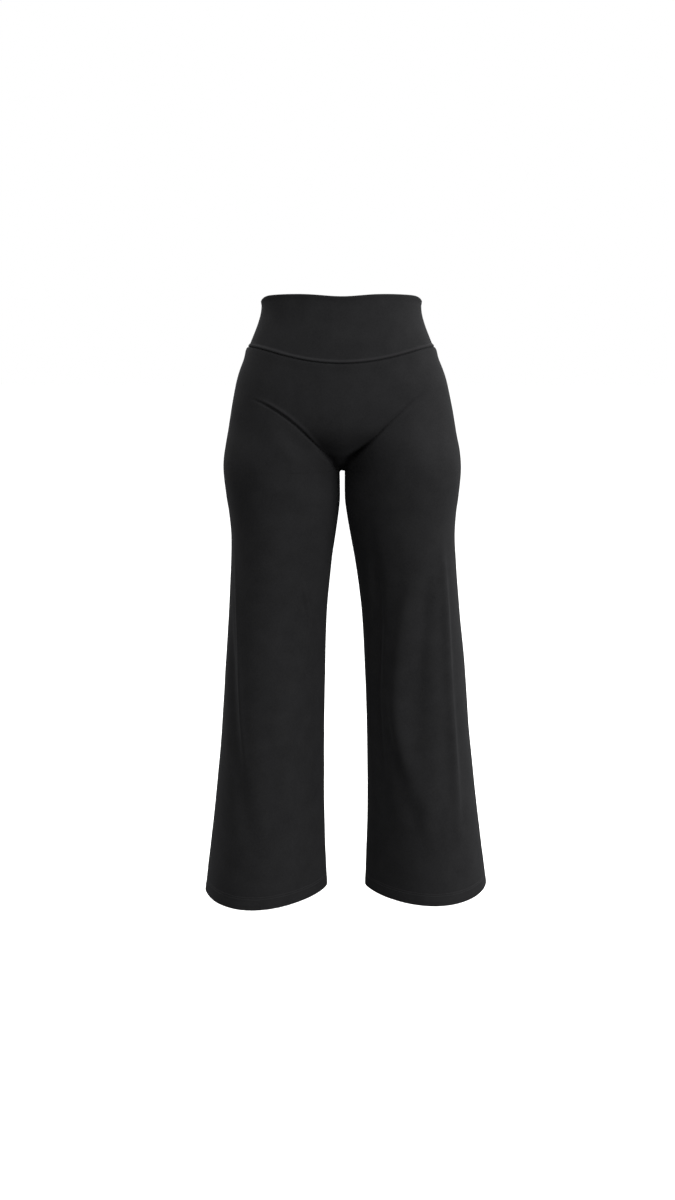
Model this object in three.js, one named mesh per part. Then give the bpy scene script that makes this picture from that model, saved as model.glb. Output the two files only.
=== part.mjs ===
// High-waist wide-leg leggings in knitted cloth, held in the hollow shape of a wearer.
// Millimetres, +Z up. The origin is the middle of the waist opening, at its top edge. The front faces
// -Y, and +X is the wearer's left. Each sewn piece is one closed wall of cloth.
import * as THREE from 'three';

// Cloth
const BODY_WALL = 1.5;
const BAND_WALL = 2.4; // the waistband is doubled
const HEM_WALL = 2.4; // the hem is turned up inside
const HEM_TURN = 20;
const SEAM_GAP = 0.3; // between neighbouring pieces
const LEAST_MITRE = 0.4; // keeps the gap small at a piece's sharp corners
const CLOTH_COLOUR = 0x252527;
const CLOTH_ROUGHNESS = 0.9;

// Waistband: its lower seam dips towards the middle of the front and of the back
const BAND_SIDE = -79;
const BAND_DIP_FRONT = 29;
const BAND_DIP_BACK = 20;
const TOP_RISE = 2.5;
const TOP_SCOOP = { depth: 5, width: 45 }; // low place at centre front, across x
const TOP_NOTCH = { depth: 7, width: 0.09 }; // low place at each side seam, in turns

// Crotch: above it the section is one ring round the hips, below it a ring for each leg. The middle
// line of the front and of the back curves under to it over these heights.
const CROTCH_Z = -282;
const FRONT_RISE = 82;
const BACK_RISE = 110;
const CURVE_ONSET = 0.25; // how gently the curves begin, as a share of the rise
const CROTCH_BLEND = 0.8; // how softly hips become legs away from the middle lines
const SADDLE = { radius: 4, turn: 0.045, ease: 30 }; // between the legs, and how it fades into them

// Gusset: half its width where the legs part, in turns, and how far its tips reach down and up
const GUSSET_HALF = 0.042;
const GUSSET_DROP = 70;
const GUSSET_TIP_ANGLE = 68; // degrees along the crotch curve

// Hem: level of each leg's inner corner, and how much lower its outer corner hangs
const HEM = { left: { inner: -966, drop: -3 }, right: { inner: -967, drop: 7 } };
const HEM_Z = -968;
const HEM_FADE_Z = -840; // rows above this one are level

// Sections from the waist down. side: middle to side seam; gap: middle to inseam; front and back: reach
// from the side seam's plane; square: 1 is an elliptical hip ring, less is squarer; lens: 1 is an
// elliptical leg ring, more is pointed at its seams; lean: shift to +X.
const SECTIONS = [
  { z: 6, side: 130.5, gap: 0, front: 88, back: 92, square: 1, lens: 1, lean: 0 },
  { z: -30, side: 133.5, gap: 0, front: 93, back: 96, square: 0.98, lens: 1, lean: -0.4 },
  { z: -79, side: 151, gap: 0, front: 104, back: 110, square: 0.92, lens: 1, lean: -0.8 },
  { z: -125, side: 169, gap: 0, front: 111, back: 125, square: 0.84, lens: 1, lean: 0 },
  { z: -168, side: 178.7, gap: 0, front: 113, back: 136, square: 0.76, lens: 1, lean: 0.3 },
  { z: -215, side: 186.4, gap: 0, front: 112, back: 142, square: 0.68, lens: 1, lean: 0.6 },
  { z: -250, side: 192.4, gap: 4, front: 110, back: 142, square: 0.63, lens: 1, lean: 0.8 },
  { z: -282, side: 194.3, gap: 4, front: 107, back: 136, square: 0.6, lens: 1, lean: 1 },
  { z: -327, side: 190, gap: 3.6, front: 102, back: 126, square: 0.6, lens: 1, lean: 1.4 },
  { z: -350, side: 186.6, gap: 6, front: 99, back: 121, square: 0.6, lens: 1, lean: 1.8 },
  { z: -390, side: 183.5, gap: 12.3, front: 95, back: 115, square: 0.6, lens: 1.03, lean: 2.4 },
  { z: -432, side: 184.8, gap: 19.4, front: 91, back: 110, square: 0.6, lens: 1.06, lean: 3.2 },
  { z: -512, side: 189.7, gap: 27.9, front: 88, back: 105, square: 0.6, lens: 1.12, lean: 4.3 },
  { z: -617, side: 197.5, gap: 32.8, front: 88, back: 104, square: 0.6, lens: 1.18, lean: 5.8 },
  { z: -722, side: 204.3, gap: 35.1, front: 90, back: 107, square: 0.6, lens: 1.25, lean: 6.6 },
  { z: -850, side: 217.5, gap: 34.8, front: 93, back: 112, square: 0.6, lens: 1.3, lean: 7.3 },
  { z: -934, side: 227.2, gap: 32.3, front: 95, back: 116, square: 0.6, lens: 1.35, lean: 7.4 },
  { z: -980, side: 232.5, gap: 30.5, front: 96, back: 118, square: 0.6, lens: 1.35, lean: 7.4 },
];

const LEG_SKEW = 0.16; // how much fuller a leg's front is on its outer half than on its inner half

// Where each leg joins the belly: a bent line seen square on from the front, as [x, z]. Between the two
// lines the belly draws back and under. soft: half the width of the change.
const LEG_JOINTS = {
  left: { from: [142, -146], bend: [70, -196], to: [12, -276], soft: 9 },
  right: { from: [-148, -164], bend: [-70, -186], to: [-11, -281], soft: 9 },
};
const BELLY_TUCK = 0.3; // how much further back than the crotch curve it draws
// It turns under sooner beside the legs, by up to sag, from begin to full and back to nothing at end,
// and by a share of that on the middle line too.
const BELLY_ROUND = { sag: 14, begin: -208, full: -250, end: -282 };
const BELLY_UNDER = { share: 0.6, begin: -236, full: -262 };
const BELLY_END = { z: -284, fade: 8 };
// Beside the belly each thigh keeps the rounding of the leg below it. ramp: heights over which that
// rounding gives way to the hips; takeOver: heights over which the leg's own ring begins; across: where
// it fades towards the side seam, as shares of the side; inner: and towards the inseam, in millimetres.
const THIGH = { ramp: [-305, -150], takeOver: [-350, -300], across: [0.55, 0.85], inner: 14 };

// The largest folds. Each follows a bent line seen square on from the front or the back. rise: how far
// the middle of the fold stands out, or in if negative; width: from its middle to where it fades.
const FOLDS = [
  { face: -1, ...LEG_JOINTS.right, width: 9, rise: -2.5 },
  { face: -1, ...LEG_JOINTS.left, width: 9, rise: -2 },
  { face: -1, from: [142, -390], bend: [84, -580], to: [112, -800], width: 20, rise: 5 },
  { face: -1, from: [150, -420], bend: [136, -720], to: [84, -925], width: 18, rise: -5 },
  { face: -1, from: [-184, -470], bend: [-180, -700], to: [-136, -905], width: 18, rise: -6 },
  { face: 1, from: [-128, -300], bend: [-90, -345], to: [-30, -350], width: 18, rise: -3 },
  { face: 1, from: [126, -295], bend: [86, -348], to: [32, -345], width: 18, rise: -4 },
  { face: 1, from: [-148, -430], bend: [-96, -600], to: [-120, -820], width: 20, rise: 5 },
  { face: 1, from: [160, -470], bend: [140, -700], to: [96, -900], width: 20, rise: -5 },
];
const FOLD_STEPS = 12;
const FOLD_TAPER = 0.7; // less keeps a fold's height closer to its ends
const FOLD_FACING = 1.6; // how far towards the side seams folds keep their height
const TURN_STEP = 0.004; // for measuring which way the skin faces

// Rows of points, as levels at the side seam
const BAND_ROWS = 4;
const BODY_LEVELS = [-100, -120, -138, -154, -170, -186];
const CURVE_ANGLES = [0, 10, 20, 30, 40, 50, 60, GUSSET_TIP_ANGLE, 90];
const SADDLE_DROPS = [1.2, 3, 6, 12, 25, 45, GUSSET_DROP];
const LEG_LEVELS = [-388, -432, -483, -543, -610, -682, -758, -836, -910];
const HEM_STEP = 2;
const PANEL_COLUMNS = 14; // from the middle of the body, or the inseam, to the side seam
const GUSSET_COLUMNS = 2;
const COLUMN_CROWDING = 4; // how fast columns pushed aside by the gusset straighten again

const clamp01 = (v) => THREE.MathUtils.clamp(v, 0, 1);
const { lerp, smoothstep } = THREE.MathUtils;

// Slope of a column at a row of the table, from its neighbours
function slope(row, key) {
  const above = SECTIONS[Math.max(row - 1, 0)];
  const below = SECTIONS[Math.min(row + 1, SECTIONS.length - 1)];
  return (below[key] - above[key]) / (below.z - above.z);
}

// One column at a level, on a smooth curve through the table
function column(key, z) {
  const last = SECTIONS.length - 2;
  let row = SECTIONS.findIndex((section) => section.z <= z) - 1;
  row = THREE.MathUtils.clamp(row < -1 ? last : row, 0, last);
  const [top, low] = [SECTIONS[row], SECTIONS[row + 1]];
  const span = low.z - top.z;
  const s = (z - top.z) / span;
  const hermite = [2 * s ** 3 - 3 * s ** 2 + 1, s ** 3 - 2 * s ** 2 + s];
  hermite.push(1 - hermite[0], s ** 3 - s ** 2);
  return hermite[0] * top[key] + hermite[1] * span * slope(row, key)
    + hermite[2] * low[key] + hermite[3] * span * slope(row + 1, key);
}

// Half of the gap between the legs. Near the inseam it opens on a small round saddle, and elsewhere
// little by little.
function halfGap(turn, z) {
  const drop = clamp01((CROTCH_Z - z) / SADDLE.radius);
  const saddle = Math.sqrt(1 - (1 - drop) ** 2);
  const eased = smoothstep(CROTCH_Z - z, -SADDLE.ease, SADDLE.ease);
  const near = Math.exp(-((Math.min(turn, 1 - turn) / SADDLE.turn) ** 2));
  return column('gap', z) * lerp(eased, saddle, near);
}

// Largest forward reach of a section that is part hip ring and part leg ring
function widestReach(leg, square) {
  if (leg < 1e-6) return 1;
  const hip = 1 - leg;
  const s = (Math.sqrt((hip * square) ** 2 + 32 * leg ** 2) - hip * square) / (8 * leg);
  const c = Math.sqrt(1 - s ** 2);
  return hip * c ** square + 2 * leg * s * c;
}

// Share of the hip ring in a section, the rest being leg ring. On the middle lines it follows a quarter
// ellipse down to the crotch, and towards the side seams it fades out more and more softly.
function hipShare(rise, turn, z) {
  const fall = (CROTCH_Z + rise - z) / rise;
  const drop = (fall + Math.hypot(fall, CURVE_ONSET)) / (1 + Math.hypot(1, CURVE_ONSET));
  const soft = CROTCH_BLEND * Math.sin(Math.PI * turn) ** 2;
  const softened = (v) => (v + Math.hypot(v, soft)) / 2;
  return Math.sqrt(softened(1 - drop ** 2) / softened(1));
}

// A point of the smooth garment. half: 1 is the wearer's left, -1 the right. turn runs from 0 at centre
// front, or the inseam, through 0.5 at the side seam to 1 at centre back, or the inseam again.
function plainPoint(half, turn, z) {
  if (turn < 0 || turn > 1) {
    const past = turn < 0 ? -turn : 2 - turn;
    return z > CROTCH_Z ? plainPoint(-half, past, z) : plainPoint(half, 1 - past, z);
  }
  const inBack = turn > 0.5;
  const hip = hipShare(inBack ? BACK_RISE : FRONT_RISE, turn, z);
  const leg = 1 - hip;
  const angle = Math.PI * turn;
  const side = column('side', z);
  const gap = halfGap(turn, z);
  const square = column('square', z);
  const across = hip * side * Math.sin(angle) + leg * (gap + (side - gap) * Math.sin(angle) ** 2);
  const skew = inBack ? 1 : 1 - LEG_SKEW * Math.cos(2 * angle);
  const ring = skew * Math.abs(Math.sin(2 * angle)) ** column('lens', z);
  const oval = Math.abs(Math.cos(angle)) ** square;
  const reach = (hip * oval + leg * ring) / widestReach(leg, square);
  const depth = inBack ? column('back', z) : -column('front', z);
  return new THREE.Vector3(half * across + column('lean', z), depth * reach, z);
}

// How far across a leg joint runs at a height
function jointReach({ from, bend, to }, z) {
  const a = from[1] - 2 * bend[1] + to[1];
  const b = 2 * (bend[1] - from[1]);
  const s = clamp01((-b - Math.sqrt(Math.max(b ** 2 - 4 * a * (from[1] - z), 0))) / (2 * a));
  return Math.abs((1 - s) ** 2 * from[0] + 2 * s * (1 - s) * bend[0] + s ** 2 * to[0]);
}

// How far forward the hips' ring is at a place across and a height, as a share of its most
function hipRing(x, z) {
  const across = Math.min(Math.abs(x - column('lean', z)) / column('side', z), 1);
  return (1 - across ** 2) ** (column('square', z) / 2);
}

// Where the front of a thigh lies
function thighFront(x, z) {
  const gap = column('gap', z);
  const s = clamp01((Math.abs(x - column('lean', z)) - gap) / (column('side', z) - gap));
  const ring = (1 + LEG_SKEW * (2 * s - 1)) * (2 * Math.sqrt(s * (1 - s))) ** column('lens', z);
  return -column('front', z) * lerp(ring, hipRing(x, z), smoothstep(z, ...THIGH.ramp));
}

// Where the belly lies. reach: how far across the leg joint is at this height.
function bellyFront(x, z, reach) {
  const { sag, begin, full, end } = BELLY_ROUND;
  const rounded = smoothstep(-z, -begin, -full) * smoothstep(z, end, full);
  const beside = Math.min(Math.abs(x) / Math.max(reach, 1), 1) ** 2;
  const under = BELLY_UNDER.share * smoothstep(-z, -BELLY_UNDER.begin, -BELLY_UNDER.full);
  const lower = z - sag * Math.min(beside + under, 1) * rounded;
  return -column('front', z) * hipRing(x, z) * hipShare(FRONT_RISE, 0, lower) ** (1 + BELLY_TUCK);
}

// A point of the garment, with the belly drawn back between the thighs
function formPoint(half, turn, z) {
  const point = plainPoint(half, turn, z);
  if (point.y >= 0) return point;
  const across = Math.abs(point.x);
  const onThigh = smoothstep(z, ...THIGH.takeOver) * smoothstep(across, 0, THIGH.inner);
  const nearSide = smoothstep(across / column('side', z), ...THIGH.across);
  const thigh = lerp(point.y, thighFront(point.x, z), onThigh * (1 - nearSide));
  const joint = point.x > 0 ? LEG_JOINTS.left : LEG_JOINTS.right;
  const reach = jointReach(joint, z);
  const onBelly = smoothstep(reach - across, -joint.soft, joint.soft);
  const above = smoothstep(z, BELLY_END.z, BELLY_END.z + BELLY_END.fade);
  point.y = lerp(thigh, bellyFront(point.x, z, reach), onBelly * above);
  return point;
}

function foldPoint({ from, bend, to }, s) {
  const bezier = [0, 1].map((i) => (1 - s) ** 2 * from[i] + 2 * s * (1 - s) * bend[i] + s ** 2 * to[i]);
  return new THREE.Vector2(...bezier);
}

// How far the folds move a point of the front or back outwards
function foldHeight(point) {
  const place = new THREE.Vector2(point.x, point.z);
  let height = 0;
  for (const fold of FOLDS.filter(({ face }) => face * point.y > 0)) {
    let [near, at] = [Infinity, 0];
    for (let step = 0; step <= FOLD_STEPS; step++) {
      const gap = foldPoint(fold, step / FOLD_STEPS).distanceTo(place);
      if (gap < near) [near, at] = [gap, step / FOLD_STEPS];
    }
    const fade = Math.sin(Math.PI * clamp01(at)) ** FOLD_TAPER;
    height += fold.rise * fade * Math.exp(-((near / fold.width) ** 2));
  }
  return height;
}

// A point of the garment's outside, with its folds
function skinPoint(half, turn, z) {
  const point = formPoint(half, turn, z);
  const along = plainPoint(half, turn + TURN_STEP, z).sub(plainPoint(half, turn - TURN_STEP, z));
  const out = new THREE.Vector3(along.y, -along.x, 0).normalize().multiplyScalar(half);
  const facing = clamp01(FOLD_FACING * Math.abs(out.y)); // the outline keeps its sizes
  return point.addScaledVector(out, facing * foldHeight(point));
}

function topEdge(half, turn) {
  const x = plainPoint(half, turn, 0).x;
  const scoop = turn < 0.5 ? TOP_SCOOP.depth * Math.exp(-((x / TOP_SCOOP.width) ** 2)) : 0;
  const notch = TOP_NOTCH.depth * Math.exp(-(((turn - 0.5) / TOP_NOTCH.width) ** 2));
  return TOP_RISE - scoop - notch;
}

function bandDip(turn) {
  const dip = turn < 0.5 ? BAND_DIP_FRONT : BAND_DIP_BACK;
  return dip * Math.abs(Math.cos(Math.PI * turn)) ** 3;
}

function hemEdge(half, turn) {
  const leg = half > 0 ? HEM.left : HEM.right;
  return leg.inner - (leg.drop * (1 - Math.cos(2 * Math.PI * turn))) / 2;
}

// Height of a row at a turn. Rows bend with the band's seam near it, and with the hem near the hem.
function rowHeight(level, half, turn) {
  const curveTop = CROTCH_Z + FRONT_RISE;
  const nearBand = clamp01((level - curveTop) / (BAND_SIDE - curveTop));
  const nearHem = clamp01((HEM_FADE_Z - level) / (HEM_FADE_Z - HEM_Z));
  return level - nearBand * bandDip(turn) + nearHem * (hemEdge(half, turn) - HEM_Z);
}

// Half the gusset's width at a level, in turns: a diamond with its tips on the crotch curve and inseams
function gussetHalf(level) {
  if (level > CROTCH_Z + 1e-6) return 0;
  return GUSSET_HALF * clamp01(1 - (CROTCH_Z - level) / GUSSET_DROP);
}

const curveLevels = CURVE_ANGLES.map(
  (angle) => CROTCH_Z + FRONT_RISE * (1 - Math.sin(THREE.MathUtils.degToRad(angle))),
);
const bodyLevels = [
  BAND_SIDE,
  ...BODY_LEVELS,
  ...curveLevels,
  ...SADDLE_DROPS.map((drop) => CROTCH_Z - drop),
  ...LEG_LEVELS,
  HEM_Z + HEM_TURN,
  HEM_Z + HEM_TURN - HEM_STEP,
  HEM_Z,
];

// The whole skin as shared points, with each piece's triangles
const points = [];
const pointKeys = new Map();
const pieces = new Map();

function pointIndex(point) {
  const key = point.toArray().map((v) => Math.round(v * 1000)).join();
  if (!pointKeys.has(key)) {
    pointKeys.set(key, points.length);
    points.push(point);
  }
  return pointKeys.get(key);
}

function addTriangle(name, a, b, c) {
  if (a === b || b === c || c === a) return;
  if (!pieces.has(name)) pieces.set(name, []);
  pieces.get(name).push([a, b, c]);
}

// Adds rows x columns of quads to a piece. place(row, column) gives each point.
function addGrid(name, half, rows, columns, place) {
  const index = [];
  for (let row = 0; row <= rows; row++) {
    index.push([]);
    for (let col = 0; col <= columns; col++) index[row].push(pointIndex(place(row, col)));
  }
  for (let row = 0; row < rows; row++) {
    for (let col = 0; col < columns; col++) {
      const quad = [index[row][col], index[row + 1][col], index[row + 1][col + 1], index[row][col + 1]];
      if (half < 0) quad.reverse();
      const [a, b, c, d] = quad;
      const shortest = points[a].distanceTo(points[c]) <= points[b].distanceTo(points[d]);
      const split = shortest ? [[a, b, c], [a, c, d]] : [[a, b, d], [b, c, d]];
      split.forEach((corners) => addTriangle(name, ...corners));
    }
  }
}

function addBand(name, half, inBack) {
  addGrid(name, half, BAND_ROWS, PANEL_COLUMNS, (row, col) => {
    const turn = (inBack ? 0.5 : 0) + (0.5 * col) / PANEL_COLUMNS;
    const low = rowHeight(BAND_SIDE, half, turn);
    return skinPoint(half, turn, lerp(topEdge(half, turn), low, row / BAND_ROWS));
  });
}

function addPanel(name, half, inBack) {
  addGrid(name, half, bodyLevels.length - 1, PANEL_COLUMNS, (row, col) => {
    const level = bodyLevels[row];
    const share = (inBack ? PANEL_COLUMNS - col : col) / PANEL_COLUMNS;
    const fromInseam = 0.5 * share + gussetHalf(level) * (1 - share) ** COLUMN_CROWDING;
    const turn = inBack ? 1 - fromInseam : fromInseam;
    return skinPoint(half, turn, rowHeight(level, half, turn));
  });
}

function addGussetQuarter(half, inBack) {
  const first = curveLevels.length - 2;
  const levels = bodyLevels.slice(
    1 + BODY_LEVELS.length + first,
    1 + BODY_LEVELS.length + curveLevels.length + SADDLE_DROPS.length,
  );
  addGrid('gusset', half, levels.length - 1, GUSSET_COLUMNS, (row, col) => {
    const share = inBack ? 1 - col / GUSSET_COLUMNS : col / GUSSET_COLUMNS;
    const inset = share * gussetHalf(levels[row]);
    return skinPoint(half, inBack ? 1 - inset : inset, levels[row]);
  });
}

for (const half of [1, -1]) {
  addBand('waistband_front', half, false);
  addBand('waistband_back', half, true);
  addPanel('front', half, false);
  addPanel(half > 0 ? 'back_left' : 'back_right', half, true);
  addGussetQuarter(half, false);
  addGussetQuarter(half, true);
}

// Outward direction at each point of the whole skin, so that neighbouring walls turn in together
const outward = points.map(() => new THREE.Vector3());
for (const [a, b, c] of [...pieces.values()].flat()) {
  const across = points[b].clone().sub(points[a]);
  const area = across.cross(points[c].clone().sub(points[a]));
  for (const corner of [a, b, c]) outward[corner].add(area);
}
outward.forEach((direction) => direction.normalize());

// Edges that only one triangle of a piece uses, in that triangle's direction
function openEdges(triangles) {
  const used = new Map();
  for (const [a, b, c] of triangles) {
    for (const edge of [[a, b], [b, c], [c, a]]) used.set(edge.join(), edge);
  }
  return [...used.values()].filter(([a, b]) => !used.has([b, a].join()));
}

// How far each point on a piece's edge draws back, to leave half of the seam gap
function seamSetback(edges) {
  const inward = new Map();
  for (const [a, b] of edges) {
    const along = points[b].clone().sub(points[a]).normalize();
    for (const end of [a, b]) {
      const side = outward[end].clone().cross(along).normalize();
      inward.set(end, [...(inward.get(end) ?? []), side]);
    }
  }
  return new Map([...inward].map(([end, [first, second = first]]) => {
    const sum = first.clone().add(second);
    const mitre = Math.max(1 + first.dot(second), LEAST_MITRE);
    return [end, sum.multiplyScalar(SEAM_GAP / 2 / mitre)];
  }));
}

function wallAt(name, z) {
  if (name.startsWith('waistband')) return BAND_WALL;
  return z < HEM_Z + HEM_TURN - HEM_STEP / 2 ? HEM_WALL : BODY_WALL;
}

// A closed wall of cloth: the piece's outside, the same inside, and a rim round its edge
function wallGeometry(name, triangles) {
  const edges = openEdges(triangles);
  const setback = seamSetback(edges);
  const places = [...new Set(triangles.flat())];
  const outer = new Map(places.map((place, i) => [place, i]));
  const inner = (place) => outer.get(place) + places.length;
  const outside = places.map((i) => points[i].clone().add(setback.get(i) ?? new THREE.Vector3()));
  const inside = places.map(
    (i, n) => outside[n].clone().addScaledVector(outward[i], -wallAt(name, points[i].z)),
  );
  const index = [];
  for (const [a, b, c] of triangles) {
    index.push(outer.get(a), outer.get(b), outer.get(c));
    index.push(inner(a), inner(c), inner(b));
  }
  for (const [a, b] of edges) {
    const rim = [outer.get(b), outer.get(a), inner(a), inner(b)];
    if (a > b) rim.push(rim.shift()); // the pieces on both sides of a seam split its rim alike
    index.push(rim[0], rim[1], rim[2], rim[0], rim[2], rim[3]);
  }
  const geometry = new THREE.BufferGeometry().setFromPoints([...outside, ...inside]);
  geometry.setIndex(index);
  geometry.computeVertexNormals();
  return geometry;
}

const leggings = new THREE.Group();
for (const [name, triangles] of pieces) {
  const cloth = new THREE.MeshStandardMaterial({
    color: CLOTH_COLOUR,
    roughness: CLOTH_ROUGHNESS,
    metalness: 0,
  });
  const piece = new THREE.Mesh(wallGeometry(name, triangles), cloth);
  piece.name = name;
  leggings.add(piece);
}

export default leggings;
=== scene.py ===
# Black knitted wide-leg leggings, held open as if worn: six sewn pieces as thin shells of cloth, with
# their seams, hems, stitches and creases, the cloth's material, and a plain studio round them.
import math
import bpy
import numpy as np
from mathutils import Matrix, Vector, noise


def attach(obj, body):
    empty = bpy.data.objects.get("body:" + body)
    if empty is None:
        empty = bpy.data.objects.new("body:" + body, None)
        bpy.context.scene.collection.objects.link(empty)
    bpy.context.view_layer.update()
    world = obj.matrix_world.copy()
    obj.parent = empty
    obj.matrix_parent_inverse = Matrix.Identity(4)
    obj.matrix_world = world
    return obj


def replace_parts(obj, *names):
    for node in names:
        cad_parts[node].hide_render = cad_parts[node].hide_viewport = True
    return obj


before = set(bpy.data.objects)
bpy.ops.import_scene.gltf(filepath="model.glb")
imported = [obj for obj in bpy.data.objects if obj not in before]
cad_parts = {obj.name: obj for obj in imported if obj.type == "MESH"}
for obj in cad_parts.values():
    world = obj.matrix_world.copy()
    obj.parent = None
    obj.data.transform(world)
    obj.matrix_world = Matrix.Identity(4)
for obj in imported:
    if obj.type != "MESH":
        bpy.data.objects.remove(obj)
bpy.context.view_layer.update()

# ------------------------------------------------------------------ sizes, in millimetres
# +Z is up, the front faces -Y and +X is the wearer's left. The origin is the middle of the waist opening,
# at its top edge. Where a table has two sides, 1 is the wearer's left and -1 the right.
BODY_WALL = 1.5
BAND_WALL = 2.4  # the waistband is doubled
HEM_WALL = 2.4  # the hem is turned up inside
HEM_TURN = 20.0

# Waistband: its lower seam dips towards the middle of the front and of the back
BAND_SIDE, BAND_DIP_FRONT, BAND_DIP_BACK = -81.0, 28.4, 19.4
DIP_POWER = 3  # more keeps the dips nearer the middle
TOP_RISE = 2.5
TOP_SCOOP = {"depth": 5.0, "width": 45.0}  # low place at centre front, across x
TOP_NOTCH = {"depth": 7.0, "width": 0.09}  # low place at each side seam, in turns

# Crotch: above it the section is one ring round the hips, below it a ring for each leg. The middle line
# of the front and of the back curves under to it over these heights.
CROTCH_Z, FRONT_RISE, BACK_RISE = -282.0, 82.0, 110.0
CURVE_TOP = CROTCH_Z + FRONT_RISE
CURVE_ONSET = 0.25  # how gently the curves begin, as a share of the rise
CROTCH_BLEND = 0.8  # how softly hips become legs away from the middle lines
SADDLE = {"radius": 4.0, "turn": 0.045, "ease": 30.0}  # between the legs, and how it fades into them

# Gusset: half its width where the legs part, in turns, and how far its tips reach down and up
GUSSET_HALF, GUSSET_DROP = 0.042, 70.0
GUSSET_TIP_ANGLE = 68.0  # degrees along the crotch curve
GUSSET_TIP = CROTCH_Z + FRONT_RISE * (1 - math.sin(math.radians(GUSSET_TIP_ANGLE)))
GUSSET_END = CROTCH_Z - GUSSET_DROP

# Hem: level of each leg's inner corner, and how much lower its outer corner hangs
HEM_INNER = {1: -966.0, -1: -967.0}
HEM_DROP = {1: -3.0, -1: 7.0}
HEM_Z = -968.0
HEM_FADE_Z = -840.0  # rows above this one are level

# Where each leg joins the belly, seen square on from the front: start, bend and end of a curve, as
# (x, z). Between the two curves the belly draws back and under. soft: half the width of the change.
LEG_JOINTS = {
    1: {"line": ((142, -146), (70, -196), (12, -276)), "soft": 5.0},
    -1: {"line": ((-148, -164), (-70, -186), (-11, -281)), "soft": 3.0},
}
BELLY_TUCK = 0.3  # how much further back than the crotch curve it draws
# It turns under sooner beside the legs, by up to sag, from begin to full and back to nothing at end,
# and by a share of that on the middle line too
BELLY_ROUND = {"sag": 14.0, "begin": -208.0, "full": -250.0, "end": -282.0}
BELLY_UNDER = {"share": 0.6, "begin": -236.0, "full": -262.0}
BELLY_END = (-284.0, -276.0)  # it ends at the first of these levels, and is whole from the second
LEG_SKEW = 0.16  # how much fuller a leg's front is on its outer half than on its inner half
# Beside the belly each thigh keeps the rounding of the leg below it. ramp: heights over which that
# rounding gives way to the hips; take_over: heights over which the leg's own ring begins; across: where
# it fades towards the side seam, as shares of the side; inner: and towards the inseam, in millimetres.
THIGH = {"ramp": (-305.0, -150.0), "take_over": (-350.0, -300.0), "across": (0.55, 0.85), "inner": 14.0}

# Sections from the waist down. side: middle to side seam; gap: middle to inseam; front and back: reach
# from the side seam's plane; square: 1 is an elliptical hip ring, less is squarer; lens: 1 is an
# elliptical leg ring, more is pointed at its seams; lean: shift to +X.
SECTION_KEYS = ("z", "side", "gap", "front", "back", "square", "lens", "lean")
SECTIONS = np.array([
    (6, 130.5, 0, 88, 92, 1, 1, 0),
    (-30, 133.5, 0, 93, 96, 0.98, 1, -0.4),
    (-79, 151, 0, 104, 110, 0.92, 1, -0.8),
    (-125, 169, 0, 111, 125, 0.84, 1, 0),
    (-168, 178.7, 0, 113, 136, 0.76, 1, 0.3),
    (-215, 186.4, 0, 112, 142, 0.68, 1, 0.6),
    (-250, 192.4, 4, 110, 142, 0.63, 1, 0.8),
    (-282, 194.3, 4, 107, 136, 0.6, 1, 1),
    (-327, 190, 3.6, 102, 126, 0.6, 1, 1.4),
    (-350, 186.6, 6, 99, 121, 0.6, 1, 1.8),
    (-390, 183.5, 12.3, 95, 115, 0.6, 1.03, 2.4),
    (-432, 184.8, 19.4, 91, 110, 0.6, 1.06, 3.2),
    (-512, 189.7, 27.9, 88, 105, 0.6, 1.12, 4.3),
    (-617, 197.5, 32.8, 88, 104, 0.6, 1.18, 5.8),
    (-722, 204.3, 35.1, 90, 107, 0.6, 1.25, 6.6),
    (-850, 217.5, 34.8, 93, 112, 0.6, 1.3, 7.3),
    (-934, 227.2, 32.3, 95, 116, 0.6, 1.35, 7.4),
    (-980, 232.5, 30.5, 96, 118, 0.6, 1.35, 7.4),
])

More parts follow.
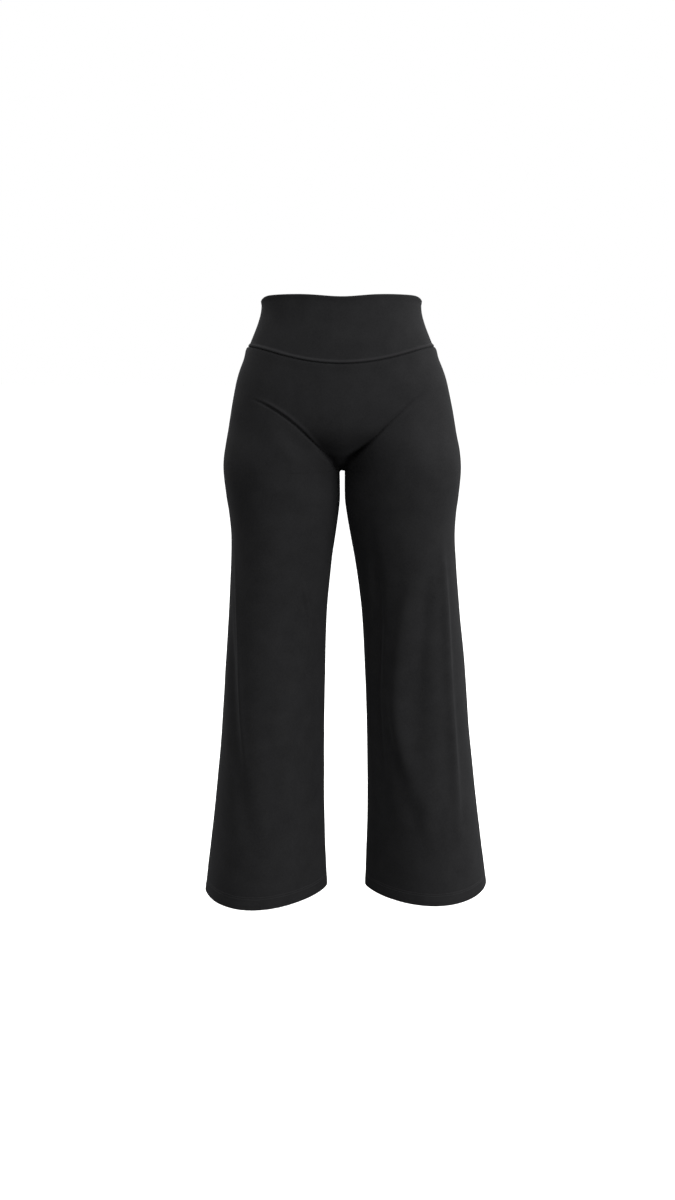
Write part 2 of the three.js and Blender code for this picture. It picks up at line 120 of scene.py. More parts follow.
# Creases. face: where the path is seen square on; rise: out, or in if negative; width: from the middle of
# the fold to where it fades; power: 2 is rounded, less is sharper; path: (across, z) points, across being
# x on the front and back, and y on the wearer's left and right.
FOLDS = [
    # the right thigh's fullness under its crease
    ("front", 2.6, 17.0, 2, ((-118, -214), (-92, -238), (-72, -270), (-64, -310), (-66, -360))),
    # left leg: long soft drape from the thigh, its hollows, and the rim by the side seam
    ("front", 8.2, 16, 2, ((143, -388), (106, -480), (90, -590), (90, -690), (106, -770), (128, -850))),
    ("front", -5.4, 15, 2, ((154, -400), (136, -480), (124, -590), (120, -700), (126, -760))),
    ("front", -2.4, 15, 2, ((70, -650), (82, -720), (104, -790), (122, -850), (132, -910))),
    ("front", 3.0, 15, 2, ((157, -725), (140, -799), (130, -900))),
    ("front", -8.6, 15, 2, ((44, -350), (56, -480), (54, -650), (64, -780), (86, -900))),
    ("front", 6.4, 8.5, 2, ((160, -370), (167, -546), (174, -672), (182, -799), (189, -905))),
    # right leg: thin ridge and hollow along the outer side, faint lines inside
    ("front", 2.8, 4.6, 2, ((-174, -380), (-167, -520), (-159, -680), (-147, -800))),
    ("front", -4.8, 13, 2,
     ((-180, -470), (-177, -600), (-172, -700), (-160, -790), (-146, -860), (-138, -915))),
    ("front", 3.2, 3.6, 2, ((-61, -440), (-58, -480), (-51, -520), (-55, -560), (-54, -600))),
    ("front", 2.0, 16, 2, ((-70, -600), (-86, -740), (-76, -880))),
    ("front", -2.0, 16, 2, ((-112, -560), (-118, -700), (-104, -860))),
    # seat and backs of the legs
    ("back", -4.4, 9.5, 1.8, ((132, -282), (112, -312), (78, -334), (40, -342))),
    ("back", -3.6, 8, 1.8, ((-128, -290), (-100, -322), (-64, -338), (-30, -338))),
    ("back", 2.4, 10, 2, ((124, -300), (96, -334), (58, -356))),
    ("back", 1.8, 9, 2, ((-118, -312), (-84, -342), (-50, -358))),
    ("back", -1.8, 8, 2, ((146, -330), (110, -372), (66, -390))),
    ("back", -1.4, 8, 2, ((-150, -340), (-116, -368), (-80, -380))),
    ("back", 5.6, 11, 2, ((-150, -400), (-104, -560), (-96, -700), (-118, -850))),
    ("back", -5.4, 10, 2, ((-166, -440), (-136, -600), (-128, -760), (-92, -920))),
    ("back", 3.8, 9, 2, ((-64, -420), (-60, -600), (-78, -800))),
    ("back", 5.8, 12, 2, ((146, -390), (112, -530), (104, -690), (128, -840))),
    ("back", -6.0, 10, 2, ((164, -420), (146, -590), (140, -750), (104, -910))),
    ("back", -3.6, 8, 2, ((70, -430), (66, -600), (84, -820))),
    ("back", 1.8, 12, 2, ((178, -560), (190, -720), (188, -880))),
    ("back", -1.2, 7, 2, ((18, -128), (40, -168), (44, -214))),
    ("back", -1.0, 7, 2, ((-16, -134), (-36, -172), (-46, -206))),
    # sides of the legs
    ("left", 4.6, 10, 2, ((34, -330), (50, -520), (44, -700), (60, -880))),
    ("left", -4.2, 9, 2, ((22, -420), (30, -600), (22, -780), (34, -930))),
    ("right", 4.0, 9, 2, ((30, -370), (44, -540), (52, -720), (44, -880))),
    ("right", -4.0, 8, 2, ((14, -480), (28, -640), (34, -780), (26, -900))),
    ("left", -1.8, 7, 2, ((-30, -210), (0, -262), (38, -300))),
    ("left", -1.6, 6, 2, ((40, -286), (60, -330), (66, -372))),
    ("right", -2.0, 7, 2, ((-34, -222), (-4, -268), (36, -296))),
    ("right", -1.4, 6, 2, ((20, -262), (48, -292), (68, -340))),
]
# Folds along the leg joints: side, how far above the joint, rise, width, and stretch of the joint used
JOINT_FOLDS = (
    (-1, 0.0, -4.0, 1.5, (-0.04, 0.86)),
    (-1, 3.6, 2.6, 3.0, (0.04, 0.98)),
    (1, 0.0, -3.0, 1.4, (0.0, 0.88)),
    (1, 3.4, 0.6, 3.0, (0.0, 0.5)),
)
FOLD_FADE_IN, FOLD_FADE_OUT = 0.3, 0.35  # over these shares of its length
FOLD_WAVES = ((0.18, 9.0, 2.1), (0.08, 23.0, 1.0))  # unevenness: height, pace, and shift for each fold
FOLD_SPREAD = (0.8, 0.4)  # its width where it starts, and what that gains by its end, as shares
FOLD_REACH = 3  # widths beyond which nothing of a fold is left
FOLD_FACING = 0.8  # skin that faces us less than this has lower folds, so the outline keeps its sizes
WOBBLE = ((0.7, 70.0), (0.32, 27.0))  # unevenness of hanging cloth: height and size
WOBBLE_DRAW = 0.55  # less than 1 draws it out downwards

# Steps of the cloth's mesh
ROW_STEP, LEG_ROW_STEP, BAND_ROW_STEP, COLUMN_STEP = 4.6, 5.2, 3.6, 3.8
EDGE_STEP, BEAD_STEP, HEM_STEP = 1.9, 0.55, 1.8  # at seams and edges, at the band's bead, and at the hem
CORNER_STEP, SADDLE_STEP = 1.0, 0.25  # round the gusset's upper tips, and where the legs part
FINE_STEP, FINE_TOP = 1.8, -150.0  # rows round the leg joints, and the level where they begin
FINE_COLUMNS = {"step": 2.8, "reach": 150.0}  # round the leg joints, and how far from the middle
GROWTH, SLOW_GROWTH, BAND_GROWTH = 0.35, 0.2, 0.16  # how fast steps grow away from an edge
HEM_ZONE = 30.0  # height of the fine rows at the hem
# Rows below the band's seam, in stretches: level of the end, first, last and largest step, and growth
ROW_STRETCHES = (
    (FINE_TOP, 1.2, FINE_STEP, ROW_STEP, 0.25),
    (CURVE_TOP, FINE_STEP, FINE_STEP, FINE_STEP, GROWTH),
    (GUSSET_TIP, FINE_STEP, CORNER_STEP, FINE_STEP, GROWTH),
    (CROTCH_Z, CORNER_STEP, SADDLE_STEP, CORNER_STEP, SLOW_GROWTH),
    (GUSSET_END, SADDLE_STEP, ROW_STEP, ROW_STEP, SLOW_GROWTH),
    (HEM_Z + HEM_ZONE, ROW_STEP, 2.0, LEG_ROW_STEP, GROWTH),
    (HEM_Z, HEM_STEP, 1.6, HEM_STEP, GROWTH),
)
BAND_HEIGHT = 100.0  # about, for spacing its rows
HALF_PANEL = 285.0  # about, from the inseam round to the side seam, for spacing columns
COLUMN_CROWDING = 4  # how fast columns pushed aside by the gusset straighten again
GUSSET_COLUMNS = 6
RIM_STEPS = 4
RIM_ROUND = 0.8  # how far a rim's rounding reaches
LEAST_MITRE = 0.5  # keeps a rim close to its seam at a piece's sharp corners
SIDE_VIEW = (0.15, 0.85)  # the turns that show from a side
FAR = 99.0  # distance given to the gusset's points, whose edges have no relief
# How many points stand for a curve, by what it is for
SAMPLES = {"spacing": 4000, "row": 300, "seen": 240, "path": 24, "joint": 9, "fold": 48}
TINY, SHORTEST = 1e-6, 1e-9  # rounding, and a length that gives no direction
PER_METRE = 1000

# Small relief beside seams and edges: from which one, how far from it, how wide, and how high. top and
# hem are a piece's upper and lower edges, side is its side seam, and mid is the centre back or inseam.
BAND_RELIEF = (
    ("top", 0, 7.0, 1.6),
    ("top", 8.5, 1.5, -0.3),
    ("side", 0, 2.0, -0.5),
    ("side", 5, 3, 0.35),
)
BODY_RELIEF = (
    ("top", 3, 11, 1.3),
    ("top", 0, 1.6, -0.6),
    ("side", 0, 2.0, -0.45),
    ("side", 5, 3, 0.45),
    ("hem", HEM_TURN - 3, 0.9, -0.35),
    ("hem", HEM_TURN - 1.5, 1.0, 0.35),
    ("hem", HEM_TURN, 0.9, -0.35),
    ("hem", 8, 5, 0.3),
)
MIDDLE_SEAM_RELIEF = (("mid", 0, 1.8, -0.3),)
# Fullness under the band by the side seam: how high, and how far from each and how wide
HIP_CORNER = {"rise": 1.5, "side": (0, 20), "top": (6, 9)}
BEAD = {"rise": 2.7, "at": 2.3, "half": 3.1}  # the rolled lower edge of the waistband
BEAD_FLATTER = {"share": 0.85, "width": 14.0}  # at the side seams

# Where cloth is rubbed lighter and raised seams and edges get a painted highlight, in the same columns
BAND_WEAR_AND_HIGHLIGHT = (("hem", BEAD["at"] + 1.3, 1.5, 0.42), ("top", 0.5, 1.6, 0.2), ("side", 2.5, 1.6, 0.12))
BODY_WEAR_AND_HIGHLIGHT = (("hem", 0, 1.5, 0.25), ("hem", HEM_TURN - 1.6, 1.0, 0.10), ("side", 2.5, 1.6, 0.12))
BACK_SEAM_WEAR_AND_HIGHLIGHT = (("mid", 2.5, 1.6, 0.15),)

# Hem stitching: rows of straight stitches outside, and the looper's thread inside
STITCH = {"pitch": 3.2, "length": 2.5, "thread": 0.21, "sides": 6, "rows": (HEM_TURN, HEM_TURN - 3.2)}
# Along one stitch, as shares of its length and of the thread: place, thickness and height
STITCH_SHAPE = ((-0.5, 0.3, -0.7), (-0.4, 0.8, 0.3), (0, 1, 0.5), (0.4, 0.8, 0.3), (0.5, 0.3, -0.7))
LOOPER = {"thread": 0.16, "sides": 5, "sunk": 0.6}
# Overlocked seam allowances, inside. Round their section: across, in halves and corners, and how deep.
ALLOWANCE = {"half": 6.0, "thick": 1.0, "corner": 0.5, "sunk": 0.05, "above_hem": 3.0}
ALLOWANCE_SECTION = ((-1, 0, 0.5), (-1, 1, 0), (0, 0, 0), (1, -1, 0), (1, 0, 0.5), (1, -1, 1), (0, 0, 1),
                     (-1, 1, 1))


# ------------------------------------------------------------------ the garment's form
def smooth(v, start=0.0, end=1.0):
    """Eases from 0 to 1 as v goes from start to end."""
    s = np.clip((v - start) / (end - start), 0, 1)
    return s * s * (3 - 2 * s)


def bump(distance, at, width):
    """A rounded bump, 1 high, at a distance."""
    return np.exp(-(((distance - at) / width) ** 2))


def unit(vectors):
    """Vectors made 1 long."""
    return vectors / np.maximum(np.linalg.norm(vectors, axis=-1, keepdims=True), SHORTEST)


def column(key, z):
    """One column of the table at height z, on a smooth curve."""
    k, n = SECTION_KEYS.index(key), len(SECTIONS)
    level, value = SECTIONS[:, 0], SECTIONS[:, k]
    row = np.clip(np.searchsorted(-level, -z, side="left") - 1, 0, n - 2)
    above, below = np.maximum(np.arange(n) - 1, 0), np.minimum(np.arange(n) + 1, n - 1)
    slope = (value[below] - value[above]) / (level[below] - level[above])
    span = level[row + 1] - level[row]
    s = (z - level[row]) / span
    start = 2 * s**3 - 3 * s**2 + 1
    return (start * value[row] + (s**3 - 2 * s**2 + s) * span * slope[row]
            + (1 - start) * value[row + 1] + (s**3 - s**2) * span * slope[row + 1])


def half_gap(turn, z):
    """Half of the gap between the legs. Near the inseam it opens on a small round saddle, and elsewhere
    little by little."""
    drop = np.clip((CROTCH_Z - z) / SADDLE["radius"], 0, 1)
    saddle = np.sqrt(1 - (1 - drop) ** 2)
    eased = smooth(z, CROTCH_Z + SADDLE["ease"], CROTCH_Z - SADDLE["ease"])
    near = bump(np.minimum(turn, 1 - turn), 0, SADDLE["turn"])
    return column("gap", z) * (near * saddle + (1 - near) * eased)


def widest_reach(leg, square):
    """Largest forward reach of a section that is part hip ring and part leg ring, where leg is the leg
    ring's share. It is where the reach's slope is nothing, which gives a quadratic in the sine."""
    leg = np.maximum(leg, TINY)
    hip = 1 - leg
    s = (np.sqrt((hip * square) ** 2 + 32 * leg**2) - hip * square) / (8 * leg)
    c = np.sqrt(1 - s**2)
    return hip * c**square + 2 * leg * s * c


def hip_share(rise, turn, z):
    """Share of the hip ring in a section, the rest being leg ring. On the middle lines it follows a
    quarter ellipse down to the crotch, and towards the side seams it fades out more and more softly."""
    fall = (CROTCH_Z + rise - z) / rise
    drop = (fall + np.hypot(fall, CURVE_ONSET)) / (1 + np.hypot(1, CURVE_ONSET))
    soft = CROTCH_BLEND * np.sin(np.pi * turn) ** 2

    def softened(v):
        return (v + np.hypot(v, soft)) / 2

    return np.sqrt(softened(1 - drop**2) / softened(1.0))


def plain_skin(half, turn, z):
    """Points of the smooth garment. half is 1 on the wearer's left, -1 on the right. turn is 0 at centre
    front or the inseam, 0.5 at the side seam and 1 at centre back or the inseam again."""
    in_back = turn > 0.5
    hip = hip_share(np.where(in_back, BACK_RISE, FRONT_RISE), turn, z)
    leg = 1 - hip
    angle = np.pi * turn
    side, gap, square = column("side", z), half_gap(turn, z), column("square", z)
    across = hip * side * np.sin(angle) + leg * (gap + (side - gap) * np.sin(angle) ** 2)
    skew = np.where(in_back, 1, 1 - LEG_SKEW * np.cos(2 * angle))
    ring = skew * np.abs(np.sin(2 * angle)) ** column("lens", z)
    reach = (hip * np.abs(np.cos(angle)) ** square + leg * ring) / widest_reach(leg, square)
    depth = np.where(in_back, column("back", z), -column("front", z))
    return np.stack([half * across + column("lean", z), depth * reach, z], -1)


def joint_reach(line, z):
    """How far across a leg joint runs at height z."""
    (x0, z0), (x1, z1), (x2, z2) = line
    a, b = z0 - 2 * z1 + z2, 2 * (z1 - z0)
    s = np.clip((-b - np.sqrt(np.maximum(b * b - 4 * a * (z0 - z), 0))) / (2 * a), 0, 1)
    return np.abs((1 - s) ** 2 * x0 + 2 * s * (1 - s) * x1 + s**2 * x2)


def hip_ring(x, z):
    """How far forward the hips' ring is at x, as a share of its most."""
    across = np.minimum(np.abs(x - column("lean", z)) / column("side", z), 1)
    return (1 - across**2) ** (column("square", z) / 2)


def thigh_front(x, z):
    """Where the front of a thigh lies at x and z."""
    side, gap = column("side", z), column("gap", z)
    s = np.clip((np.abs(x - column("lean", z)) - gap) / (side - gap), 0, 1)
    ring = (1 + LEG_SKEW * (2 * s - 1)) * (2 * np.sqrt(s * (1 - s))) ** column("lens", z)
    return -column("front", z) * (ring + (hip_ring(x, z) - ring) * smooth(z, *THIGH["ramp"]))


def joint_fold(side, above, rise, width, stretch):
    """A fold that follows a leg joint."""
    start, bend, end = np.array(LEG_JOINTS[side]["line"], float)
    s = np.linspace(*stretch, SAMPLES["joint"])[:, None]
    path = (1 - s) ** 2 * start + 2 * s * (1 - s) * bend + s**2 * end
    along = (1 - s) * (bend - start) + s * (end - bend)
    upward = np.stack([-along[:, 1], along[:, 0]], -1) * -side
    return ("front", rise, width, 2, path + above * unit(upward))


def form_skin(half, turn, z):
    """Points of the garment, with the belly drawn back between the thighs."""
    points = plain_skin(half, turn, z)
    x, y, z = points[..., 0], points[..., 1], points[..., 2]
    thigh_share = smooth(z, *THIGH["take_over"]) * smooth(np.abs(x), 0, THIGH["inner"])
    thigh_share = thigh_share * smooth(np.abs(x) / column("side", z), *reversed(THIGH["across"]))
    thigh = y + thigh_share * (thigh_front(x, z) - y)
    belly_share = np.where(x == 0, 1.0, 0.0)
    reach = np.ones_like(z)
    for side, joint in LEG_JOINTS.items():
        here = np.sign(x) == side
        reach = np.where(here, np.maximum(joint_reach(joint["line"], z), 1), reach)
        inside = (reach - np.abs(x)) / joint["soft"]
        belly_share = np.where(here, smooth(inside, -1, 1), belly_share)
    beside = np.minimum(np.abs(x) / reach, 1) ** 2
    begin, full, end = (BELLY_ROUND[key] for key in ("begin", "full", "end"))
    rounded = smooth(z, begin, full) * smooth(z, end, full)
    under = BELLY_UNDER["share"] * smooth(z, BELLY_UNDER["begin"], BELLY_UNDER["full"])
    lower = z - BELLY_ROUND["sag"] * np.minimum(beside + under, 1) * rounded
    tuck = hip_share(FRONT_RISE, 0, lower) ** (1 + BELLY_TUCK)
    belly = -column("front", z) * hip_ring(x, z) * tuck
    front = thigh + belly_share * smooth(z, *BELLY_END) * (belly - thigh)
    return np.stack([x, np.where(y < 0, front, y), z], -1)


def top_edge(half, turn):
    """Height of the waist's top edge."""
    x = plain_skin(half, turn, np.zeros_like(turn))[..., 0]
    scoop = np.where(turn < 0.5, TOP_SCOOP["depth"] * bump(x, 0, TOP_SCOOP["width"]), 0)
    notch = TOP_NOTCH["depth"] * bump(turn, 0.5, TOP_NOTCH["width"])
    return TOP_RISE - scoop - notch


def row_height(level, half, turn):
    """Height of a row at a turn. Rows bend with the band's seam near it, and with the hem near the hem."""
    dip = np.where(turn < 0.5, BAND_DIP_FRONT, BAND_DIP_BACK) * np.abs(np.cos(np.pi * turn)) ** DIP_POWER
    hem = HEM_INNER[half] - HEM_DROP[half] * (1 - np.cos(2 * np.pi * turn)) / 2
    near_band = np.clip((level - CURVE_TOP) / (BAND_SIDE - CURVE_TOP), 0, 1)
    near_hem = np.clip((HEM_FADE_Z - level) / (HEM_FADE_Z - HEM_Z), 0, 1)
    return level - near_band * dip + near_hem * (hem - HEM_Z)


def gusset_half(level):
    """Half of the gusset's width at a level, in turns."""
    share = np.clip(1 - (CROTCH_Z - level) / GUSSET_DROP, 0, 1)
    return np.where(level > CROTCH_Z + TINY, 0, GUSSET_HALF * share)


# ------------------------------------------------------------------ the cloth's rows and columns
def spaced(length, first, last, most, growth=GROWTH, fine=None):
    """Places from 0 to length, closer together at both ends, and with a fine step up to a place."""
    s = np.linspace(0, length, SAMPLES["spacing"])
    gap = np.minimum(most, np.minimum(first + growth * s, last + growth * (length - s)))
    if fine:
        gap = np.minimum(gap, fine["step"] + growth * np.maximum(s - fine["reach"], 0))
    count = np.concatenate([[0], np.cumsum((1 / gap[1:] + 1 / gap[:-1]) / 2 * np.diff(s))])
    return np.interp(np.linspace(0, count[-1], math.ceil(count[-1]) + 1), count, s)


stretch_top = BAND_SIDE
levels = [np.array([stretch_top])]
for stretch_end, *steps in ROW_STRETCHES:
    levels.append(stretch_top - spaced(stretch_top - stretch_end, *steps)[1:])
    stretch_top = stretch_end
levels = np.concatenate(levels)
columns = spaced(HALF_PANEL, EDGE_STEP, EDGE_STEP, COLUMN_STEP, fine=FINE_COLUMNS) / HALF_PANEL
band_rows = spaced(BAND_HEIGHT, EDGE_STEP, BEAD_STEP, BAND_ROW_STEP, BAND_GROWTH) / BAND_HEIGHT
tip_row = int(np.argmin(np.abs(levels - GUSSET_TIP)))
drop_row = int(np.argmin(np.abs(levels - GUSSET_END)))

grids = []  # one for each half of a piece


def add_grid(piece, half, in_back, turn, height, distances, band=False):
    """Keeps half of a piece as a grid of points, with each point's distances to the piece's edges."""
    distances = {edge: np.broadcast_to(distance, turn.shape) for edge, distance in distances.items()}
    grids.append({"piece": piece, "half": half, "in_back": in_back, "band": band,
                  "points": form_skin(half, turn, height), **distances})


def even_shares(half, place):
    """Where to put columns so that they are evenly spaced round each row: their shares of the way from
    the middle to the side, and their distances from both. place gives turns and heights at shares."""
    share = np.linspace(0, 1, SAMPLES["row"])
    points = plain_skin(half, *place(share[None, :]))
    steps = np.linalg.norm(np.diff(points, axis=1), axis=2)
    along = np.concatenate([np.zeros((len(points), 1)), np.cumsum(steps, axis=1)], axis=1)
    shares = np.array([np.interp(columns * a[-1], a, share) for a in along])
    return shares, columns[None, :] * along[:, -1:], (1 - columns)[None, :] * along[:, -1:]


def add_body(piece, half, in_back):
    level = levels[:, None]

    def place(share):
        from_inseam = 0.5 * share + gusset_half(level) * (1 - share) ** COLUMN_CROWDING
        turn = 1 - from_inseam if in_back else from_inseam
        return turn, row_height(level, half, turn)

    shares, mid, side = even_shares(half, place)
    distances = {"mid": mid, "side": side, "top": BAND_SIDE - level, "hem": level - HEM_Z}
    add_grid(piece, half, in_back, *place(shares), distances)


def add_band(piece, half, in_back):
    def place(share):
        turn = 1 - 0.5 * share if in_back else 0.5 * share
        return turn, row_height(np.array([[BAND_SIDE]]), half, turn)

    shares, mid, side = even_shares(half, place)
    shares = np.broadcast_to(shares, (len(band_rows), shares.shape[1]))
    turn, low = place(shares)
    high = top_edge(half, turn)
    height = high + (low - high) * band_rows[:, None]
    distances = {"mid": mid, "side": side, "top": high - height, "hem": height - low}
    add_grid(piece, half, in_back, turn, height, distances, band=True)


def add_gusset(piece, half, in_back):
    level = levels[tip_row:drop_row + 1][:, None]
    inset = np.linspace(0, 1, GUSSET_COLUMNS + 1)[None, :] * gusset_half(level)
    turn = 1 - inset if in_back else inset
    distances = dict.fromkeys(("mid", "side", "top", "hem"), FAR)
    add_grid(piece, half, in_back, turn, np.broadcast_to(level, turn.shape), distances)


for half, back_piece in ((1, "back_left"), (-1, "back_right")):
    add_band("waistband_front", half, False)
    add_band("waistband_back", half, True)
    add_body("front", half, False)
    add_body(back_piece, half, True)
    add_gusset("gusset", half, False)
    add_gusset("gusset", half, True)


def grid_quads(shape, flip):
    """A grid's quads, as places in it."""
    index = np.arange(shape[0] * shape[1]).reshape(shape)
    a, b, c, d = index[:-1, :-1], index[1:, :-1], index[1:, 1:], index[:-1, 1:]
    quads = np.stack([a, b, c, d], -1).reshape(-1, 4)
    return quads[:, ::-1] if flip else quads


def normals_of(points, quads):
    """The outward direction at each point, from the quads round it."""
    a, b, c, d = (points[quads[:, corner]] for corner in range(4))
    across = np.cross(c - a, d - b)
    total = np.zeros_like(points)
    for corner in range(4):
        np.add.at(total, quads[:, corner], across)
    return unit(total)


# The whole skin. Points that agree to a thousandth are shared, so that pieces keep meeting at seams.
start = 0
for grid in grids:
    grid["quads"] = grid_quads(grid["mid"].shape, (grid["half"] < 0) != grid["in_back"])
    grid["start"] = start
    start += grid["mid"].size
raw = np.concatenate([grid["points"].reshape(-1, 3) for grid in grids])
_, first_of, shared = np.unique(np.round(raw, 3), axis=0, return_index=True, return_inverse=True)
shared = shared.ravel()
skin = raw[first_of]
skin_quads = shared[np.concatenate([grid["quads"] + grid["start"] for grid in grids])]


# ------------------------------------------------------------------ creases
def run_along(line):
    """How far along a line each of its points is."""
    return np.concatenate([[0], np.cumsum(np.linalg.norm(np.diff(line, axis=0), axis=1))])


def at_places(places, run, values):
    """Values at places along a run, from the values at its points."""
    return np.stack([np.interp(places, run, value) for value in values.T], -1)


def smooth_path(points, count):
    """A smooth line through the points, evenly sampled."""
    p = np.array(points, float)
    p = np.vstack([2 * p[0] - p[1], p, 2 * p[-1] - p[-2]])
    s = np.linspace(0, 1, SAMPLES["path"], endpoint=False)[:, None]
    parts = [0.5 * (2 * b + (c - a) * s + (2 * a - 5 * b + 4 * c - d) * s**2
                    + (3 * b - a - 3 * c + d) * s**3)
             for a, b, c, d in zip(p, p[1:], p[2:], p[3:])]
    line = np.vstack([*parts, p[-2:-1]])
    run = run_along(line)
    return at_places(np.linspace(0, run[-1], count), run, line)


def on_skin(face, across, z):
    """The skin's point seen at (across, z) from one face."""
    level = np.full(SAMPLES["seen"], z)
    if face in ("front", "back"):
        half = 1 if across > column("lean", level[:1])[0] else -1
        turn = np.linspace(0 if face == "front" else 1, 0.5, SAMPLES["seen"])
        seen = form_skin(half, turn, level)
        return at_places(abs(across), np.abs(seen[:, 0]), seen)
    turn = np.linspace(*SIDE_VIEW, SAMPLES["seen"])
    seen = plain_skin(1 if face == "left" else -1, turn, level)
    return at_places(across, seen[:, 1], seen)


def fold_heights(points, out):
    """How far the creases move points outwards. out: which way the skin faces at them."""
    height = np.zeros(len(points))
    for number, fold in enumerate(FOLDS + [joint_fold(*fold) for fold in JOINT_FOLDS]):
        face, rise, width, power, path = fold
        line = np.array([on_skin(face, a, z) for a, z in smooth_path(path, SAMPLES["fold"])])
        reach = FOLD_REACH * width
        near = np.all((points > line.min(0) - reach) & (points < line.max(0) + reach), axis=1)
        p = points[near][:, None, :]
        a, ab = line[:-1][None], np.diff(line, axis=0)[None]
        t = np.clip(((p - a) * ab).sum(-1) / (ab * ab).sum(-1), 0, 1)
        gap = np.linalg.norm(p - a - t[..., None] * ab, axis=-1)
        nearest = gap.argmin(1)
        rows = np.arange(len(nearest))
        s = (nearest + t[rows, nearest]) / (SAMPLES["fold"] - 1)
        fade = smooth(s, 0, FOLD_FADE_IN) * smooth(1 - s, 0, FOLD_FADE_OUT)
        uneven = np.ones(len(s))
        for wave_height, pace, shift in FOLD_WAVES:
            uneven += wave_height * np.sin(pace * s + shift * number)
        spread = width * (FOLD_SPREAD[0] + FOLD_SPREAD[1] * s)
        seen = np.abs(out[near][:, 1 if face in ("front", "back") else 0])
        facing = np.sin(np.pi / 2 * np.clip(seen / FOLD_FACING, 0, 1))
        height[near] += facing * rise * fade * uneven * np.exp(-((gap[rows, nearest] / spread) ** power))
    return height


def wobble(points):
    """How far the unevenness of hanging cloth moves points outwards."""
    height = np.zeros(len(points))
    for rise, size in WOBBLE:
        height += [rise * noise.noise(Vector((x, y, z * WOBBLE_DRAW)) / size) for x, y, z in points]
    return height


outward = normals_of(skin, skin_quads)
skin = skin + outward * (fold_heights(skin, outward) + wobble(skin))[:, None]
outward = normals_of(skin, skin_quads)


# ------------------------------------------------------------------ seams, edges and hems
def relief(grid, rows):
    """A sum of bumps, each at a distance from a seam or edge."""
    return sum(rise * bump(grid[edge], at, width) for edge, at, width, rise in rows)


def trim_height(grid):
    """Small relief next to seams and edges."""
    if grid["band"]:
        bead = BEAD["rise"] * np.sqrt(np.clip(1 - ((grid["hem"] - BEAD["at"]) / BEAD["half"]) ** 2, 0, 1))
        flatter = BEAD_FLATTER["share"] * bump(grid["side"], 0, BEAD_FLATTER["width"])
        return bead * (1 - flatter) + relief(grid, BAND_RELIEF)
    corner = HIP_CORNER["rise"]
    for edge in ("side", "top"):
        corner = corner * bump(grid[edge], *HIP_CORNER[edge])
    seamed = grid["in_back"] | (grid["points"][..., 2] < CROTCH_Z)
    return relief(grid, BODY_RELIEF) + corner + relief(grid, MIDDLE_SEAM_RELIEF) * seamed


def wear_and_highlight_at(grid):
    """Where the cloth is rubbed a little lighter and has a painted highlight: raised seams and edges."""
    if grid["band"]:
        return relief(grid, BAND_WEAR_AND_HIGHLIGHT)
    return relief(grid, BODY_WEAR_AND_HIGHLIGHT) + relief(grid, BACK_SEAM_WEAR_AND_HIGHLIGHT) * grid["in_back"]


def wall_at(grid):
    """How thick the cloth is."""
    if grid["band"]:
        return np.full(grid["mid"].shape, BAND_WALL)
    return BODY_WALL + (HEM_WALL - BODY_WALL) * smooth(grid["hem"], HEM_TURN + 1, HEM_TURN - 1)


def boundary_sides(points, quads, out):
    """A piece's edges, and at each point on them the direction off the piece, longer at corners."""
    edges = {}
    for quad in quads:
        for a, b in zip(quad, quad[1:] + quad[:1]):
            if a != b:
                if (b, a) in edges:
                    del edges[(b, a)]
                else:
                    edges[(a, b)] = True
    found = {}
    for a, b in edges:
        along = unit(points[b] - points[a])
        for end in (a, b):
            found.setdefault(end, []).append(unit(np.cross(along, out[end])))
    sides = {}
    for end, pair in found.items():
        one, two = pair[0], pair[-1]
        sides[end] = (one + two) / max(1 + one @ two, LEAST_MITRE)
    return list(edges), sides


def places_of(grid):
    """The place of each of a grid's points in the whole skin."""
    return shared[grid["start"]:grid["start"] + grid["mid"].size].reshape(grid["mid"].shape)


